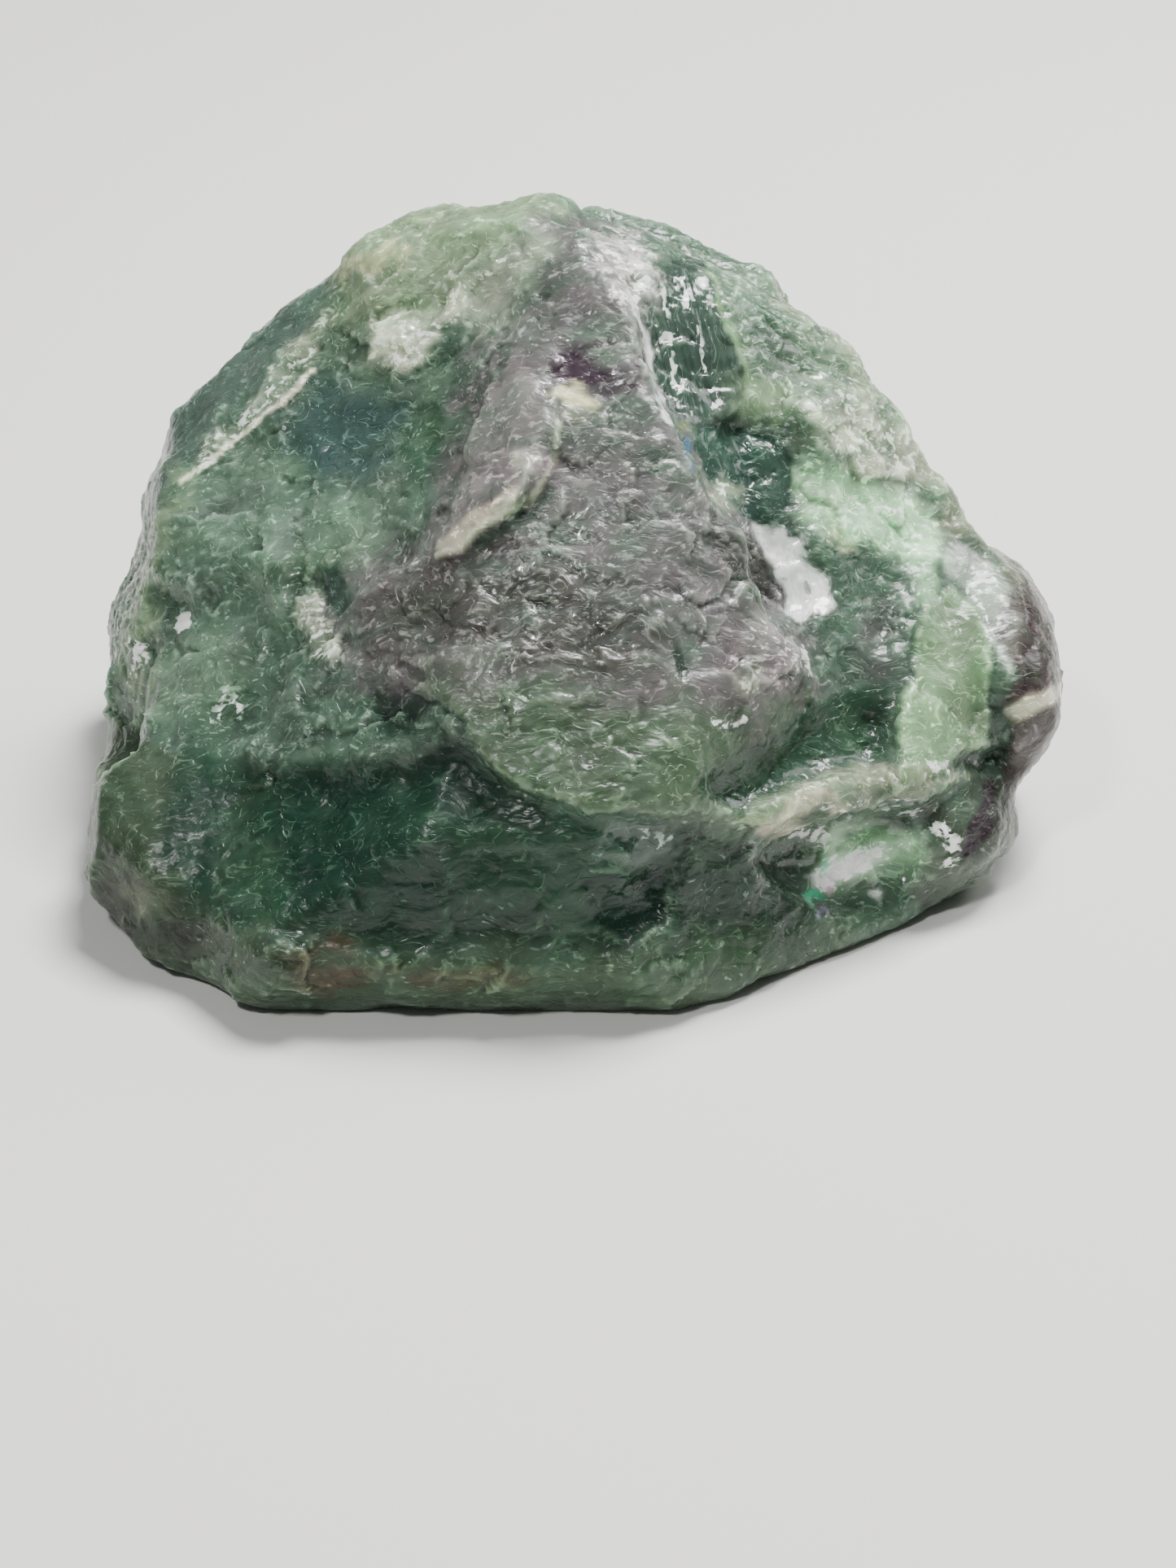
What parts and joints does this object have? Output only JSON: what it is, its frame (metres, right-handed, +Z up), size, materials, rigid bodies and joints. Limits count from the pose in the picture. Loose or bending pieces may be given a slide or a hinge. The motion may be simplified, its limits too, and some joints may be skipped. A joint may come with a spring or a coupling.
{
  "type": "rough fluorite",
  "caption": "Broken lump of translucent green fluorite with stepped cleavage ledges, dark glassy windows and a violet-grey plate on its front slope; rests on a flat base.",
  "frame": {"origin": "on the flat base, under the middle of the lump's box", "axes": "X runs to the right along the lump's length, Y away from the front, Z up; the front faces -Y"},
  "size_m": [0.063, 0.0486, 0.0388],
  "materials": {
    "fluorite": "waxy translucent stone, glossy on cleavage faces"
  },
  "bodies": {
    "root": {"fluorite": "fluorite"}
  },
  "joints": []
}
